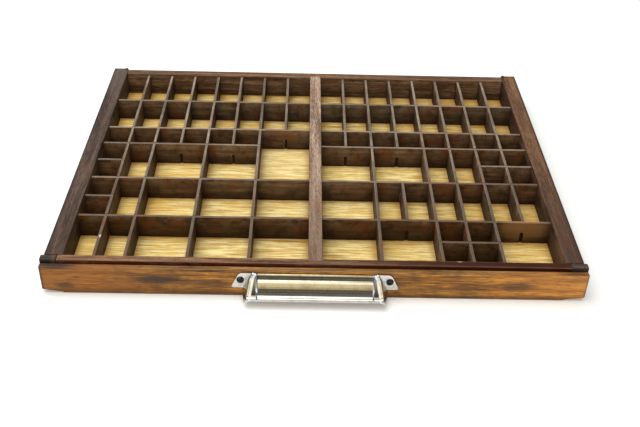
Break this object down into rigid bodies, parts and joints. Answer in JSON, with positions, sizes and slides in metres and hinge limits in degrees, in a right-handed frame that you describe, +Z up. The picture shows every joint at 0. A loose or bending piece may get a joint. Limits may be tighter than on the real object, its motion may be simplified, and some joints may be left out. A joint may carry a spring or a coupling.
{
  "type": "type case",
  "caption": "Shallow wooden tray split by halved divider strips into small open boxes for metal type, with a metal label pull on its front board.",
  "frame": {"origin": "middle of the flat underside, half way across the width and half way between the front board's face and the side rails' back ends", "axes": "+Z up, +X to the right seen from the front, +Y to the back; the label pull faces -Y"},
  "size_m": [0.5624, 0.4478, 0.0394],
  "materials": {
    "frame_wood": "worn dark varnish",
    "front_board_wood": "worn orange-brown varnish",
    "divider_wood": "dark, oily, grey on the top edges",
    "centre_bar_wood": "worn, greyish",
    "bottom_panel_wood": "pale straw, unvarnished",
    "corner_wood": "near black, satin",
    "pull_metal": "worn nickel plate, polished",
    "screw_steel": "oxidised dark"
  },
  "bodies": {
    "root": {"back_rail": "frame_wood", "bottom_panel": "bottom_panel_wood", "centre_bar": "centre_bar_wood", "front_board": "front_board_wood", "front_corner_left": "corner_wood", "front_corner_right": "corner_wood", "front_rail": "frame_wood", "label_pull": "pull_metal", "left_cross_divider_1": "divider_wood", "left_cross_divider_2": "divider_wood", "left_cross_divider_3": "divider_wood", "left_cross_divider_4": "divider_wood", "left_cross_divider_5": "divider_wood", "left_half_box_divider_row_4": "divider_wood", "left_half_box_divider_row_5": "divider_wood", "left_long_divider_1": "divider_wood", "left_long_divider_2": "divider_wood", "left_long_divider_3": "divider_wood", "left_long_divider_4": "divider_wood", "left_long_divider_5": "divider_wood", "left_long_divider_6": "divider_wood", "left_long_divider_7": "divider_wood", "right_cross_divider_1": "divider_wood", "right_cross_divider_2": "divider_wood", "right_cross_divider_3": "divider_wood", "right_cross_divider_4": "divider_wood", "right_cross_divider_5": "divider_wood", "right_half_box_divider_row_4": "divider_wood", "right_half_box_divider_row_6": "divider_wood", "right_long_divider_1": "divider_wood", "right_long_divider_2": "divider_wood", "right_long_divider_3": "divider_wood", "right_long_divider_3_short": "divider_wood", "right_long_divider_4": "divider_wood", "right_long_divider_5": "divider_wood", "right_long_divider_6": "divider_wood", "right_long_divider_7": "divider_wood", "screw_left": "screw_steel", "screw_right": "screw_steel", "side_rail_left": "frame_wood", "side_rail_right": "frame_wood"}
  },
  "joints": []
}
